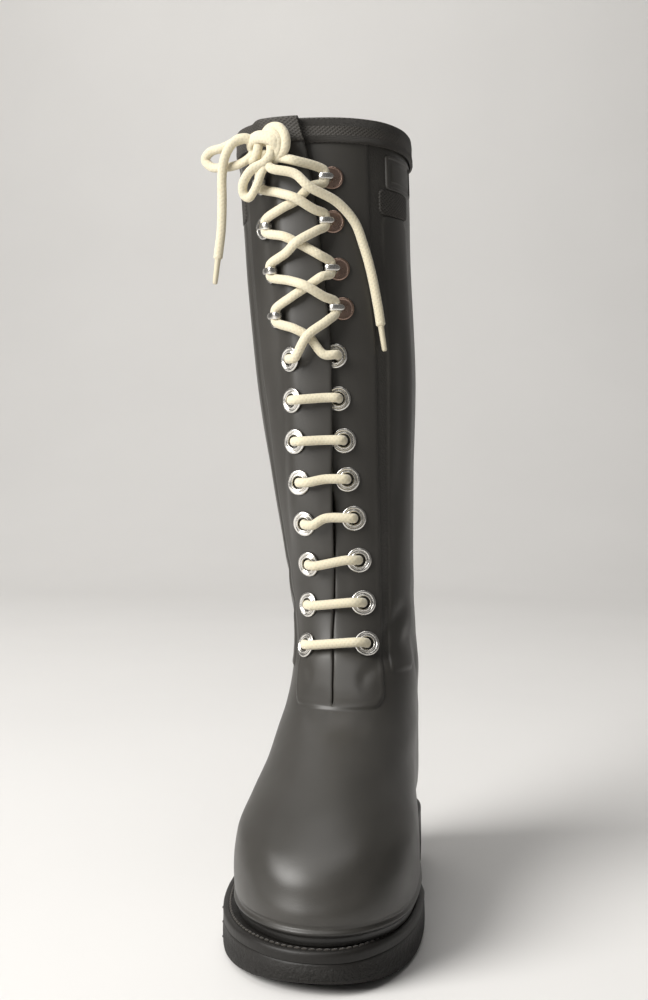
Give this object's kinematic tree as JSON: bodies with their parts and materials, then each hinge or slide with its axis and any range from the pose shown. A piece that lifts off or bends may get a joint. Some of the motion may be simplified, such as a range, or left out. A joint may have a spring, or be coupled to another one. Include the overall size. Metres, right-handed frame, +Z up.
{
  "type": "laced rubber boot",
  "caption": "Tall right-foot rubber boot with lacing eyelets and hooks up the front shaft, cotton lace tied in a bow at the collar, bound rim, stitched welt and a low heel",
  "frame": {"origin": "centre of the heel's flat face, on the floor", "axes": "+Z up, toe towards -Y, inner side of the foot towards +X"},
  "size_m": [0.1326, 0.2893, 0.448],
  "materials": {
    "sole_rubber": "matte",
    "insole_cloth": "matte",
    "upper_rubber": "satin",
    "binding_tape": "matte",
    "nickel": "polished",
    "cotton": "matte",
    "aglet_film": "gloss"
  },
  "bodies": {
    "root": {"outsole": "sole_rubber", "welt": "sole_rubber", "insole": "insole_cloth", "upper": "upper_rubber", "tongue": "upper_rubber", "binding": "binding_tape", "badge_outer": "upper_rubber", "badge_inner": "upper_rubber", "patch_outer": "upper_rubber", "patch_inner": "upper_rubber", "eyelet_outer_1": "nickel", "eyelet_inner_1": "nickel", "eyelet_outer_2": "nickel", "eyelet_inner_2": "nickel", "eyelet_outer_3": "nickel", "eyelet_inner_3": "nickel", "eyelet_outer_4": "nickel", "eyelet_inner_4": "nickel", "eyelet_outer_5": "nickel", "eyelet_inner_5": "nickel", "eyelet_outer_6": "nickel", "eyelet_inner_6": "nickel", "eyelet_outer_7": "nickel", "eyelet_inner_7": "nickel", "eyelet_outer_8": "nickel", "eyelet_inner_8": "nickel", "hook_outer_1": "nickel", "hook_inner_1": "nickel", "hook_outer_2": "nickel", "hook_inner_2": "nickel", "hook_outer_3": "nickel", "hook_inner_3": "nickel", "hook_outer_4": "nickel", "hook_inner_4": "nickel", "lace_bar_1": "cotton", "lace_bar_2": "cotton", "lace_bar_3": "cotton", "lace_bar_4": "cotton", "lace_bar_5": "cotton", "lace_bar_6": "cotton", "lace_bar_7": "cotton", "lace_crossings": "cotton", "knot": "cotton", "loop_long": "cotton", "loop_short": "cotton", "lace_end_outer": "cotton", "lace_end_inner": "cotton", "aglet_outer": "aglet_film", "aglet_inner": "aglet_film"}
  },
  "joints": []
}
